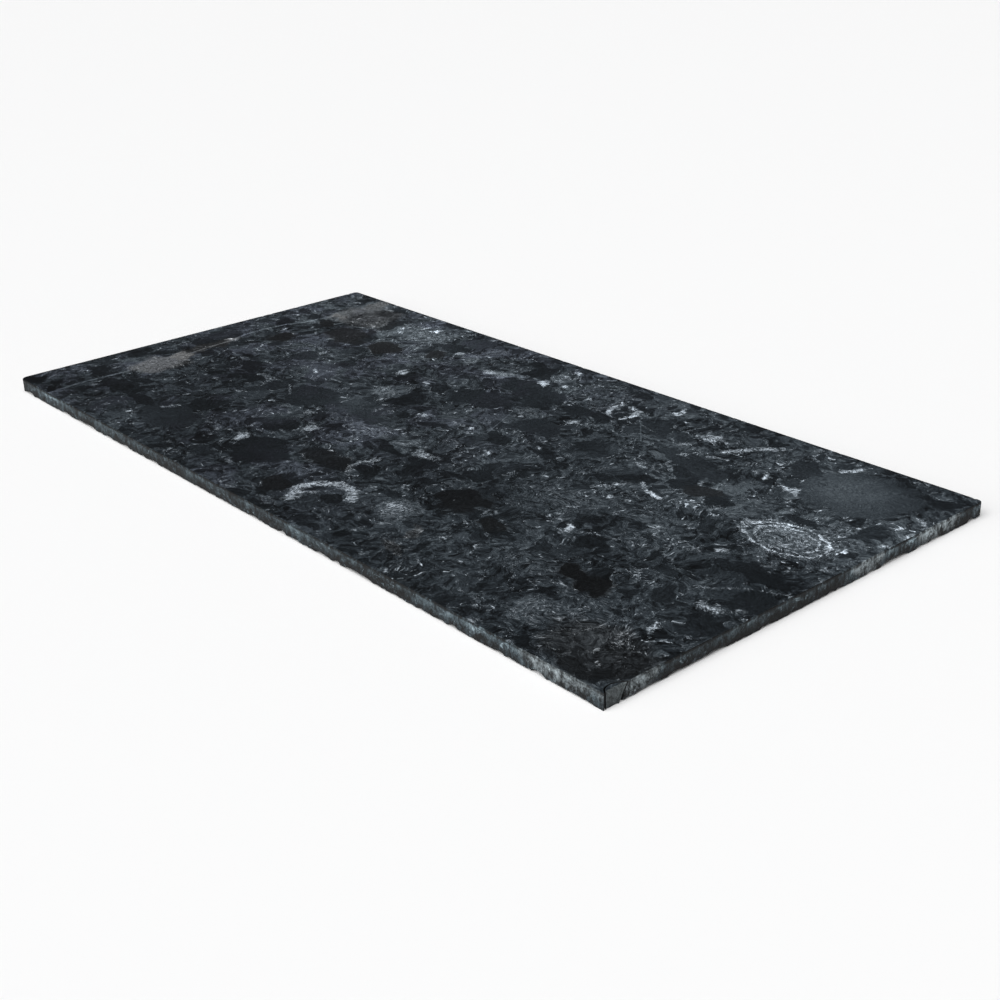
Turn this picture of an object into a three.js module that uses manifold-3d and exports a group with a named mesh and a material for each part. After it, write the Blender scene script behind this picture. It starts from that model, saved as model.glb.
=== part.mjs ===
// A stone slab for leatherwork: a sawn rectangle with a flat polished top, rough-sawn edge faces and a
// chipped lower edge. One corner is cracked through, so a small flake stands beside the slab as its own piece.
//
// Millimetres, +Z up. The origin is the middle of the underside. +X runs along the slab's length and +Y across
// its width. The cracked corner is the one at +X, -Y.
import * as THREE from "three";
import { mergeVertices } from "three/addons/utils/BufferGeometryUtils.js";
import Module from "manifold-3d";

// The slab
const LENGTH = 610;
const WIDTH = 305;
const THICKNESS = 9.5;
const EDGE_EASE = 0.5; // how far the polisher has eased the top edge

// How far each corner is worn back along its diagonal
const CRACKED_CORNER_WEAR = 0.2; // +X, -Y
const RIGHT_BACK_WEAR = 0.8; // +X, +Y
const LEFT_BACK_WEAR = 1.0; // -X, +Y
const LEFT_FRONT_WEAR = 2.0; // -X, -Y

// The slab's faces are meshed in cells: a narrow one along each border, then even ones between
const BORDER_CELL = 5;
const LENGTH_CELLS = 52;
const WIDTH_CELLS = 26;
const EDGE_ROWS = 3;

// Chipping of the lower edge: how high it climbs the edge face and how far it bites under the slab
const CHIP_RISE = 1.5;
const CHIP_BITE = 1.5;
const CHIP_WAVES = [
  { wavelength: 83, share: 0.4, phase: 0.3 },
  { wavelength: 37, share: 0.35, phase: 1.9 },
  { wavelength: 26, share: 0.25, phase: 4.1 },
];

// The flake at the cracked corner, measured from that corner along the short side, and in from it
const CRACK_GAP = 0.4;
const CRACK_START = 0.35;
const FLAKE_TOP_LENGTH = 16.5;
const FLAKE_BOTTOM_LENGTH = 10;
const FLAKE_DEPTH = 4.2;
const CRACK_SEGMENTS = 8;

// The hollow that has broken out of the slab beside the flake's foot
const HOLLOW_CENTRE = 10.9; // along the short side from the corner
const HOLLOW_LENGTH = 3.4;
const HOLLOW_DEPTH = 2.2;
const HOLLOW_HEIGHT = 5.2;

// The spall that has broken off the flake's top outer edge
const SPALL_WIDTH = 1.5;
const SPALL_DROP = 1.0;

const OVERRUN = 3; // how far a cutting solid runs past the slab's faces

const HALF_LENGTH = LENGTH / 2;
const HALF_WIDTH = WIDTH / 2;
const CORNER = new THREE.Vector2(HALF_LENGTH, -HALF_WIDTH);

const polishedStone = new THREE.MeshStandardMaterial({ color: 0x1d2226, roughness: 0.35, metalness: 0 });
const brokenStone = new THREE.MeshStandardMaterial({ color: 0x474c4d, roughness: 0.85, metalness: 0 });

// Where the line of an even grid goes, so that the cell along each border is narrow.
function gridLine(value, half, cells) {
  const index = Math.round(((value + half) / (2 * half)) * cells);
  if (index === 0 || index === cells) {
    return Math.sign(value) * half;
  }
  const inner = half - BORDER_CELL;
  return -inner + ((index - 1) / (cells - 2)) * 2 * inner;
}

// How far the corner nearest to a place is worn back.
function cornerWear(x, y) {
  if (x > 0) {
    return y > 0 ? RIGHT_BACK_WEAR : CRACKED_CORNER_WEAR;
  }
  return y > 0 ? LEFT_BACK_WEAR : LEFT_FRONT_WEAR;
}

// How badly the lower edge is chipped at a place on the outline, from 0 to 1.
function chipping(x, y) {
  const run = x + 1.37 * y;
  let sum = 0;
  for (const wave of CHIP_WAVES) {
    sum += wave.share * Math.sin((2 * Math.PI * run) / wave.wavelength + wave.phase);
  }
  return 0.5 + 0.5 * sum;
}

// Turns a geometry into one of shared vertices that hold a position only.
function weld(geometry) {
  geometry.deleteAttribute("normal");
  geometry.deleteAttribute("uv");
  return mergeVertices(geometry, 1e-4);
}

// The whole slab before it cracked: a block whose outline is pulled in at the corners, the eased top edge and
// the chipped lower edge. Its rows of points up the edge face are the underside, the chips' upper line, the
// foot of the eased edge and the top.
function slabGeometry() {
  const block = new THREE.BoxGeometry(LENGTH, WIDTH, THICKNESS, LENGTH_CELLS, WIDTH_CELLS, EDGE_ROWS);
  const geometry = weld(block);
  const position = geometry.attributes.position;
  for (let i = 0; i < position.count; i += 1) {
    const x = gridLine(position.getX(i), HALF_LENGTH, LENGTH_CELLS);
    const y = gridLine(position.getY(i), HALF_WIDTH, WIDTH_CELLS);
    const row = Math.round((position.getZ(i) / THICKNESS + 0.5) * EDGE_ROWS);
    const atEnd = Math.abs(x) === HALF_LENGTH;
    const atSide = Math.abs(y) === HALF_WIDTH;
    const chip = chipping(x, y);
    const heights = [0, EDGE_EASE + CHIP_RISE * chip, THICKNESS - EDGE_EASE, THICKNESS];
    const setbacks = [CHIP_BITE * chip, 0, 0, EDGE_EASE];
    const wear = atEnd && atSide ? cornerWear(x, y) : 0;
    const setback = setbacks[row] + wear;
    position.setXYZ(
      i,
      atEnd ? x - Math.sign(x) * setback : x,
      atSide ? y - Math.sign(y) * setback : y,
      heights[row],
    );
  }
  return geometry;
}

// The space on the flake's side of the crack, drawn back from the crack by a margin. It starts at the corner,
// curves in behind the short side and comes out again, and it is shorter at the slab's underside.
function flakeSpace(margin) {
  const start = CRACK_START + 1.4 * margin;
  const end = FLAKE_TOP_LENGTH - 1.8 * margin;
  const depth = FLAKE_DEPTH - margin;
  const along = end - start;
  const crack = new THREE.CubicBezierCurve(
    new THREE.Vector2(0, start),
    new THREE.Vector2(-1.25 * depth, start + 0.12 * along),
    new THREE.Vector2(-1.4 * depth, start + 0.62 * along),
    new THREE.Vector2(0, end),
  );
  const space = new THREE.Shape();
  space.moveTo(OVERRUN, start);
  for (const point of crack.getPoints(CRACK_SEGMENTS)) {
    space.lineTo(point.x, point.y);
  }
  space.lineTo(OVERRUN, end);
  const depthOptions = { depth: THICKNESS + 2 * OVERRUN, bevelEnabled: false };
  const geometry = new THREE.ExtrudeGeometry(space, depthOptions);
  const position = geometry.attributes.position;
  const shortening = (FLAKE_TOP_LENGTH - FLAKE_BOTTOM_LENGTH) / FLAKE_TOP_LENGTH;
  for (let i = 0; i < position.count; i += 1) {
    const height = position.getZ(i) - OVERRUN;
    const scale = 1 - shortening * (1 - height / THICKNESS);
    const alongSide = start + (position.getY(i) - start) * scale;
    position.setXYZ(i, CORNER.x + position.getX(i), CORNER.y + alongSide, height);
  }
  return weld(geometry);
}

// The hollow beside the flake's foot: a leaning wedge, widest at the underside.
function hollowGeometry() {
  const mouth = new THREE.Shape();
  mouth.moveTo(-0.5 * HOLLOW_LENGTH, -OVERRUN);
  mouth.lineTo(0.5 * HOLLOW_LENGTH, -OVERRUN);
  mouth.lineTo(0.45 * HOLLOW_LENGTH, 0.3 * HOLLOW_HEIGHT);
  mouth.lineTo(0.6 * HOLLOW_LENGTH, HOLLOW_HEIGHT);
  mouth.lineTo(0.05 * HOLLOW_LENGTH, 0.7 * HOLLOW_HEIGHT);
  const geometry = new THREE.ExtrudeGeometry(mouth, { depth: HOLLOW_DEPTH + OVERRUN, bevelEnabled: false });
  geometry.rotateX(Math.PI / 2);
  geometry.rotateZ(Math.PI / 2);
  geometry.translate(CORNER.x - HOLLOW_DEPTH, CORNER.y + HOLLOW_CENTRE, 0);
  return weld(geometry);
}

// The wedge that the spall has taken off the flake's top outer edge.
function spallGeometry() {
  const wedge = new THREE.Shape();
  wedge.moveTo(-SPALL_WIDTH, 0);
  wedge.lineTo(OVERRUN, -(SPALL_WIDTH + OVERRUN) * (SPALL_DROP / SPALL_WIDTH));
  wedge.lineTo(OVERRUN, OVERRUN);
  wedge.lineTo(-SPALL_WIDTH, OVERRUN);
  const length = FLAKE_TOP_LENGTH + 2 * OVERRUN;
  const geometry = new THREE.ExtrudeGeometry(wedge, { depth: length, bevelEnabled: false });
  geometry.rotateX(Math.PI / 2);
  geometry.translate(CORNER.x, CORNER.y + length - OVERRUN, THICKNESS);
  return weld(geometry);
}

const wasm = await Module();
wasm.setup();

function toSolid(geometry) {
  const mesh = new wasm.Mesh({
    numProp: 3,
    vertProperties: new Float32Array(geometry.attributes.position.array),
    triVerts: new Uint32Array(geometry.index.array),
  });
  return new wasm.Manifold(mesh);
}

function toGeometry(solid) {
  const mesh = solid.getMesh();
  const geometry = new THREE.BufferGeometry();
  geometry.setAttribute("position", new THREE.BufferAttribute(mesh.vertProperties, 3));
  geometry.setIndex(new THREE.BufferAttribute(mesh.triVerts, 1));
  geometry.computeVertexNormals();
  return geometry;
}

function namedMesh(name, geometry, material) {
  const mesh = new THREE.Mesh(geometry, material);
  mesh.name = name;
  return mesh;
}

const wholeSlab = toSolid(slabGeometry());
const slabBody = wholeSlab.subtract(toSolid(flakeSpace(0))).subtract(toSolid(hollowGeometry()));
const cornerFragment = wholeSlab.intersect(toSolid(flakeSpace(CRACK_GAP))).subtract(toSolid(spallGeometry()));

const stoneSlab = new THREE.Group();
stoneSlab.add(namedMesh("slab_body", toGeometry(slabBody), polishedStone));
stoneSlab.add(namedMesh("corner_fragment", toGeometry(cornerFragment), brokenStone));

export default stoneSlab;
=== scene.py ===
import functools
import math
import random

import bpy
import numpy as np
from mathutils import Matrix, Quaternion, Vector, noise
from mathutils.geometry import delaunay_2d_cdt


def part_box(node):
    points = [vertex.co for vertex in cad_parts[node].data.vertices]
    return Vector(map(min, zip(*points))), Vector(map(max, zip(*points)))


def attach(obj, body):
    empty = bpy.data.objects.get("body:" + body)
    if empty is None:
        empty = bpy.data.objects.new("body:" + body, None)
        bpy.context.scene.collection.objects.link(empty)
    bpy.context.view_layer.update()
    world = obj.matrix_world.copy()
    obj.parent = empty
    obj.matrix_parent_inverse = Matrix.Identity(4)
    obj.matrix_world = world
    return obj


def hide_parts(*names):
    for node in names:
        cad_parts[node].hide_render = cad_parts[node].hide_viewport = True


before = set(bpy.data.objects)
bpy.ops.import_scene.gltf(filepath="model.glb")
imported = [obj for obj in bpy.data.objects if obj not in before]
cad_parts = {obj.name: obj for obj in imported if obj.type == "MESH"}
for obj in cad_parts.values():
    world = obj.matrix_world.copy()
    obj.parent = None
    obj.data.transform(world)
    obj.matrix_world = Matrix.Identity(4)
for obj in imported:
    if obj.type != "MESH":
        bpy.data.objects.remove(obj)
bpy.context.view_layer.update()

MM = 0.001
SEED = 12
ALONG, ACROSS, UP = range(3)

# A stone's tone, from 0 for black to 1 for white, becomes its brightness through this power
TONE_POWER = 2.2

# The least tone of the polished stone, and of its sawn and broken faces
DARKEST = 0.07
DARKEST_BROKEN = 0.05

slab_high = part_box("slab_body")[1]
HALF_LENGTH = slab_high.x / MM
HALF_WIDTH = slab_high.y / MM
THICKNESS = slab_high.z / MM
CORNER = np.array([HALF_LENGTH, -HALF_WIDTH])

# Corner radii in plan
RIGHT_BACK_RADIUS = 2.7
LEFT_BACK_RADIUS = 3.2
LEFT_FRONT_RADIUS = 5.5

# Spacing of the mesh columns round the sides: ordinary, and near the cracked corner
COLUMN_STEP = 0.72
FINE_STEP = 0.3
FINE_REACH = 34

# The crack round the flake at the cracked corner, close to the CAD's. Lengths are along the short side.
CRACK_START = 0.9
CRACK_GAP = 0.6
FLAKE_TOP_LENGTH = 16.5
FLAKE_BOTTOM_LENGTH = 10.0
FLAKE_DEPTH = 4.2
CRACK_REACH = 40         # the side's columns lean with the crack this far from the corner

# The mesh's "broken" attribute says how deep a chip is, or has this value in the crack and the hollow, where
# the materials darken the stone as painted shade
SHADED_RECESS = -1

# The hollow broken out of the slab beside the flake's foot. Its centre's distance from the corner, along the
# short side, grows by the lean for each millimetre up.
HOLLOW_CENTRE = 11.0
HOLLOW_LEAN = 0.35
HOLLOW_HALF_LENGTH = 2.1
HOLLOW_HEIGHT = 5.4
HOLLOW_DEPTH = 2.7

# Chips: their spacing along the edge, then the ranges of their widths and their depths
SMALL_CHIPS = (7.5, (1.8, 7.0), (0.35, 1.35))
WIDE_CHIPS = (34, (6.0, 18.0), (1.2, 2.5))
TOP_NICKS = (12, (0.8, 2.6), (0.15, 0.55))
TOP_CHIPS = (95, (2.0, 5.0), (0.5, 1.0))

# How many times as far as they rise up its sides, the lower edge's chips bite under the slab
CHIP_LEAN = 3.0

# The largest chips of the lower edge, on the short side: distance from the crack's end, width and height
LARGE_CHIPS = [(205, 26, 2.6), (229, 9, 1.9), (184, 8, 1.7), (150, 7, 1.5), (96, 6, 1.4)]

# Rings of points inside the slab's faces: inset from the border and spacing. A grid of points starts further
# in, and on the underside they all start this much further in than on the top.
INNER_RINGS = [(3.1, 2.2), (5.4, 3.6), (9.5, 6.0), (16.0, 10.0)]
GRID_BORDER = 28
UNDERSIDE_INSET = 8.0

# Mesh edges that turn by more degrees than this are shaded sharp
SHARP_ANGLE = 38

# Heights of the mesh rows up the sides, as distances from the nearer face
LOWER_ROWS = [0, 0.08, 0.22, 0.42, 0.66, 0.94, 1.26, 1.6, 2.0, 2.45, 2.95, 3.5, 4.2]
UPPER_ROWS = [4.4, 3.6, 2.9, 2.3, 1.75, 1.3, 0.95, 0.66, 0.42, 0.24, 0.11, 0.03, 0]
ROWS = np.array(LOWER_ROWS + [THICKNESS - drop for drop in UPPER_ROWS])


# ---- outline

def steps(start, end, step):
    """Even numbers from start up to, but not including, end."""
    count = max(1, round(abs(end - start) / step))
    return start + (end - start) * np.arange(count) / count


def straight(start, end, step, across):
    """Points along a long side, whose place across the slab is the same at all of them."""
    xs = steps(start, end, step)
    return np.column_stack([xs, np.full(len(xs), across)])


def upright(ys, along):
    """Points along a short side."""
    return np.column_stack([np.full(len(ys), along), ys])


def arc(end, side, radius, turn):
    """A rounded corner at an end and a side (-1 or 1), anticlockwise from a turn in degrees."""
    angles = np.radians(turn + steps(0, 90, 90 * COLUMN_STEP / (radius * math.pi / 2)))
    return np.column_stack([end * (HALF_LENGTH - radius) + radius * np.cos(angles),
                            side * (HALF_WIDTH - radius) + radius * np.sin(angles)])


def crack_line(height, margin=0.0):
    """The crack's line in plan at a height, from the corner to the short side, drawn into the flake."""
    start = CRACK_START + 1.4 * margin
    end = FLAKE_TOP_LENGTH - 1.8 * margin
    depth = FLAKE_DEPTH - margin
    t = np.append(steps(0, 1, FINE_STEP / (FLAKE_TOP_LENGTH * 1.1)), 1.0)
    knots = [(0, start), (-1.25 * depth, start + 0.12 * (end - start)),
             (-1.4 * depth, start + 0.62 * (end - start)), (0, end)]
    weights = [(1 - t) ** 3, 3 * t * (1 - t) ** 2, 3 * t * t * (1 - t), t ** 3]
    inward = sum(w * k[0] for w, k in zip(weights, knots))
    along = sum(w * k[1] for w, k in zip(weights, knots))
    shortening = (FLAKE_TOP_LENGTH - FLAKE_BOTTOM_LENGTH) / FLAKE_TOP_LENGTH
    along = start + (along - start) * (1 - shortening * (1 - height / THICKNESS))
    return CORNER + np.column_stack([inward, along])


def slab_outline(height):
    """The slab's outline at a height, anticlockwise from the crack's end, always with as many points."""
    crack = crack_line(height)
    first = crack[-1][1] - CORNER[1]
    fine = steps(FLAKE_TOP_LENGTH, FINE_REACH, FINE_STEP)
    near = np.append(fine, steps(FINE_REACH, CRACK_REACH, COLUMN_STEP))
    near = first + (near - FLAKE_TOP_LENGTH) * (CRACK_REACH - first) / (CRACK_REACH - FLAKE_TOP_LENGTH)
    far = steps(CRACK_REACH, 2 * HALF_WIDTH - RIGHT_BACK_RADIUS, COLUMN_STEP)
    down = steps(HALF_WIDTH - LEFT_BACK_RADIUS, -HALF_WIDTH + LEFT_FRONT_RADIUS, COLUMN_STEP)
    fine_start = HALF_LENGTH - FINE_REACH
    return np.vstack([
        upright(CORNER[1] + np.append(near, far)[1:], HALF_LENGTH),
        arc(1, 1, RIGHT_BACK_RADIUS, 0),
        straight(HALF_LENGTH - RIGHT_BACK_RADIUS, -HALF_LENGTH + LEFT_BACK_RADIUS, COLUMN_STEP, HALF_WIDTH),
        arc(-1, 1, LEFT_BACK_RADIUS, 90),
        upright(down, -HALF_LENGTH),
        arc(-1, -1, LEFT_FRONT_RADIUS, 180),
        straight(-HALF_LENGTH + LEFT_FRONT_RADIUS, fine_start, COLUMN_STEP, -HALF_WIDTH),
        straight(fine_start, HALF_LENGTH, FINE_STEP, -HALF_WIDTH),
        [CORNER],
        crack,
    ])


def flake_outline(height):
    """The flake's outline at a height: up the short side, then back along the crack."""
    crack = crack_line(height, CRACK_GAP)
    start, end = crack[0][1], crack[-1][1]
    count = round((FLAKE_TOP_LENGTH - CRACK_START) / FINE_STEP)
    ys = start + (end - start) * np.arange(1, count) / count
    return np.vstack([upright(ys, HALF_LENGTH), crack[::-1]])


def lifted(plan, height):
    """Plan points, at a height."""
    return np.column_stack([plan, np.full(len(plan), height)])


def outward(outline):
    """The outward direction at each point of an anticlockwise outline."""
    run = np.roll(outline, -1, axis=0) - np.roll(outline, 1, axis=0)
    run /= np.linalg.norm(run, axis=1)[:, None]
    return np.column_stack([run[:, 1], -run[:, 0]])


# ---- chips

def fractal(points, size, octaves=4):
    """Smooth noise at each point, from about -1 to 1, with features of a size in millimetres."""
    return np.array([noise.fractal(Vector(p) / size, 1.0, 2.0, octaves) for p in points])


def scallop(off, depth):
    """One chip's depth at places given as shares of its half width from its middle."""
    return depth * np.sqrt((1 - off * off).clip(0, 1))


def scallops(along, rng, spacing, widths, depths):
    """How deep an edge is chipped at each place along it, by chips of random size."""
    chipped = np.zeros(len(along))
    place = rng.uniform(0, spacing)
    while place < along[-1]:
        half = rng.uniform(*widths) / 2
        depth = rng.uniform(*depths)
        lean = rng.uniform(-0.35, 0.35)
        off = (along - place) / half
        off = off + lean * (1 - off * off).clip(0, 1)
        chipped = np.maximum(chipped, scallop(off, depth))
        place += rng.expovariate(1 / spacing) + 0.3 * half
    return chipped


def lower_edge(along, plan, rng):
    """(bite, rise) of the chipped lower edge along the outline. Its chips are wide and shallow."""
    ragged = 0.55 + 0.6 * fractal(lifted(plan, 0), 5.5, 6)
    small = scallops(along, rng, *SMALL_CHIPS)
    rise = np.maximum(ragged.clip(0.12), np.maximum(small, scallops(along, rng, *WIDE_CHIPS)))
    for place, width, depth in LARGE_CHIPS:
        rise = np.maximum(rise, scallop((along - place) / (width / 2), depth))
    return rise * CHIP_LEAN, rise


def chip_room(plan):
    """The deepest that chips may be at each outline point, so that they never meet round a corner."""
    from_ends = HALF_LENGTH - np.abs(plan[:, 0])
    from_sides = HALF_WIDTH - np.abs(plan[:, 1])
    round_corners = 0.5 + 0.5 * np.maximum(from_ends, from_sides)
    from_crack = np.linalg.norm(plan - CORNER, axis=1)
    return np.minimum(round_corners, 0.15 + 0.6 * (from_crack - 6.5).clip(0))


def upper_edge(along, plan, rng):
    """(bite, drop) of the eased upper edge and its nicks along the outline."""
    ease = 0.3 + 0.08 * fractal(lifted(plan, 0), 22)
    nicks = scallops(along, rng, *TOP_NICKS)
    chips = np.maximum(nicks, scallops(along, rng, *TOP_CHIPS))
    return np.maximum(ease, chips + 0.1), 0.32 + 0.75 * chips


# ---- meshes

def wall_points(outline_at, inset_at):
    """Points of a piece's sides, as an array of rows from the underside up, columns and x, y, z."""
    foot, head = outline_at(0), outline_at(THICKNESS)
    rows = []
    for height in ROWS:
        plan = foot + (head - foot) * height / THICKNESS
        inward = -outward(plan)
        plan = plan + inward * inset_at(height, plan)[:, None]
        rows.append(lifted(plan, height))
    return np.array(rows)


def inside(loop, points):
    """Whether each plan point lies inside a closed loop."""
    within = np.zeros(len(points), bool)
    for (ax, ay), (bx, by) in zip(loop, np.roll(loop, -1, axis=0)):
        if ay != by:
            spans = (points[:, 1] < ay) != (points[:, 1] < by)
            crossing = ax + (points[:, 1] - ay) * (bx - ax) / (by - ay)
            within ^= spans & (points[:, 0] < crossing)
    return within


def cap_faces(loop, inner):
    """Anticlockwise triangles that fill a closed loop of plan points, through some inner points.

    Returns the points, the triangles and the given point that each point comes from.
    """
    loop_edges = [(i, (i + 1) % len(loop)) for i in range(len(loop))]
    given = [Vector(p) for p in loop] + [Vector(p) for p in inner]
    found = delaunay_2d_cdt(given, loop_edges, [], 0, 1e-5, True)
    points, triangles, origins = found[0], found[2], found[3]
    places = np.array([tuple(p) for p in points])
    middles = np.array([places[list(triangle)].mean(axis=0) for triangle in triangles])
    kept = [triangle for triangle, keep in zip(triangles, inside(np.array(loop), middles)) if keep]
    return points, kept, [ids[0] if ids else None for ids in origins]


def add_cap(vertices, faces, slots, loop_ids, height, inner, upward, slot):
    """Closes one end of the sides with a flat cap."""
    loop = [vertices[i][:2] for i in loop_ids]
    if len(inner):
        inner = np.array(inner)[inside(np.array(loop), np.array(inner))]
    points, triangles, source = cap_faces(loop, inner)
    ids = []
    for point, origin in zip(points, source):
        if origin is not None and origin < len(loop_ids):
            ids.append(loop_ids[origin])
        else:
            ids.append(len(vertices))
            vertices.append((point.x, point.y, height))
    for triangle in triangles:
        face = [ids[i] for i in triangle]
        faces.append(face if upward else face[::-1])
        slots.append(slot)


def solid(name, rows, inner, top_slot, side_slot, under_slot, marks, materials):
    """A closed mesh from its sides' points, with caps on both ends."""
    ids = np.arange(rows.shape[0] * rows.shape[1]).reshape(rows.shape[:2])
    vertices = [tuple(p) for p in rows.reshape(-1, 3)]
    after = np.roll(ids, -1, axis=1)
    faces = np.stack([ids[:-1], after[:-1], after[1:], ids[1:]], axis=-1).reshape(-1, 4).tolist()
    slots = [side_slot] * len(faces)
    first, last = ids[0].tolist(), ids[-1].tolist()
    add_cap(vertices, faces, slots, first, 0.0, inner[0], False, under_slot)
    add_cap(vertices, faces, slots, last, THICKNESS, inner[1], True, top_slot)
    mesh = bpy.data.meshes.new(name)
    mesh.from_pydata([tuple(c * MM for c in v) for v in vertices], [], faces)
    mesh.polygons.foreach_set("material_index", slots)
    mesh.polygons.foreach_set("use_smooth", [True] * len(faces))
    mesh.set_sharp_from_angle(angle=math.radians(SHARP_ANGLE))
    broken = mesh.attributes.new("broken", "FLOAT", "POINT")
    values = np.zeros(len(vertices), np.float32)
    values[:marks.size] = marks.reshape(-1)
    broken.data.foreach_set("value", values)
    mesh.validate()
    for material in materials:
        mesh.materials.append(material)
    piece = bpy.data.objects.new(name, mesh)
    bpy.context.scene.collection.objects.link(piece)
    return piece


def inner_points(start):
    """Points inside the slab's faces: rings that start at an inset of the border, then an even grid."""
    points = []
    for inset, step in INNER_RINGS:
        x, y = HALF_LENGTH - inset - start, HALF_WIDTH - inset - start
        for along in steps(-x, x, step):
            points += [(along, -y), (-along, y)]
        for along in steps(-y, y, step):
            points += [(x, along), (-x, -along)]
    x, y = HALF_LENGTH - GRID_BORDER - start, HALF_WIDTH - GRID_BORDER - start
    points += [(along, across) for along in np.linspace(-x, x, 40) for across in np.linspace(-y, y, 18)]
    clear_x, clear_y = CORNER + (-7 - start, 19 + start)
    return [(x, y) for x, y in points if x <= clear_x or y >= clear_y]


def corner_hollow(plan, height):
    """The hollow broken out of the slab beside the flake's foot, as an inset of the short side."""
    along = plan[:, 1] - CORNER[1]
    on_side = plan[:, 0] > HALF_LENGTH - 0.5
    off_centre = along - HOLLOW_CENTRE - HOLLOW_LEAN * height
    reach = 1 - (off_centre / HOLLOW_HALF_LENGTH) ** 2 - (height / HOLLOW_HEIGHT) ** 2
    return np.where(on_side, HOLLOW_DEPTH * np.sqrt(reach.clip(0, 1)), 0)


def make_slab(materials):
    rng = random.Random(SEED)
    head = slab_outline(THICKNESS)
    along = np.append(0, np.cumsum(np.linalg.norm(np.diff(head, axis=0), axis=1)))
    bite, rise = lower_edge(along, head, rng)
    top_bite, top_drop = upper_edge(along, head, rng)
    in_crack = np.arange(len(head)) >= len(head) - len(crack_line(THICKNESS))
    bite = np.where(in_crack, 0.15, np.minimum(bite, chip_room(head)))
    top_bite = np.where(in_crack, 0.12, np.minimum(top_bite, chip_room(head)))
    marks = []

    def inset_at(height, plan):
        low = (1 - height / rise).clip(0, 1) ** 1.15 * bite
        depth = THICKNESS - height
        high = (1 - depth / top_drop).clip(0, 1) ** 1.7 * top_bite
        spots = lifted(plan, height)
        rough = 0.07 * fractal(spots, 6) + 0.03 * fractal(spots + 50, 1.6)
        middle = min(1, height / 0.6, depth / 0.6)
        hollow = corner_hollow(plan, height)
        # The crack and the hollow get the mark on which the materials paint shade.
        marks.append(np.where(in_crack | (hollow > 0.4), SHADED_RECESS, low + 0.8 * high))
        side = 0.12 + rough * middle
        return np.where(in_crack, rough * middle, side) + np.maximum(low, hollow) + high

    rows = wall_points(slab_outline, inset_at)
    inner = (inner_points(UNDERSIDE_INSET), inner_points(0))
    slab = solid("slab", rows, inner, 0, 1, 2, np.array(marks), materials)
    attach(slab, "root")
    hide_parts("slab_body")


def make_flake(materials):
    head = flake_outline(THICKNESS)
    outer = head[:, 0] > HALF_LENGTH - 0.01
    marks = []

    def inset_at(height, plan):
        depth = THICKNESS - height
        spots = lifted(plan, height)
        rough = 0.1 * fractal(spots, 2.4) + 0.05 * fractal(spots + 20, 0.9)
        spall = np.maximum(1 - depth / 1.3, 0) ** 1.2 * (0.85 + 3 * rough)
        foot = max(1 - height / 1.4, 0) ** 1.4 * (0.55 + 2 * rough)
        face = 0.14 + rough + np.maximum(spall, foot)
        back = 0.12 * max(0, 1 - depth / 0.4) + 0.12 * max(0, 1 - height / 0.4)
        # The flake's face in the crack gets the mark on which the materials paint shade.
        marks.append(np.where(outer | (depth < 0.1), spall + foot, SHADED_RECESS))
        crack = crack_line(height, CRACK_GAP)
        room = np.interp(plan[:, 1], crack[:, 1], CORNER[0] - crack[:, 0])
        face = np.minimum(face, 0.45 * room)
        back = np.minimum(back + 0.4 * rough.clip(0, 1), 0.2 * (CORNER[0] - plan[:, 0]))
        return np.where(outer, face, back)

    rows = wall_points(flake_outline, inset_at)
    flake = solid("corner_flake", rows, ([], []), 1, 0, 0, np.array(marks), materials)
    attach(flake, "root")
    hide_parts("corner_fragment")


# ---- shader nodes

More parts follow.
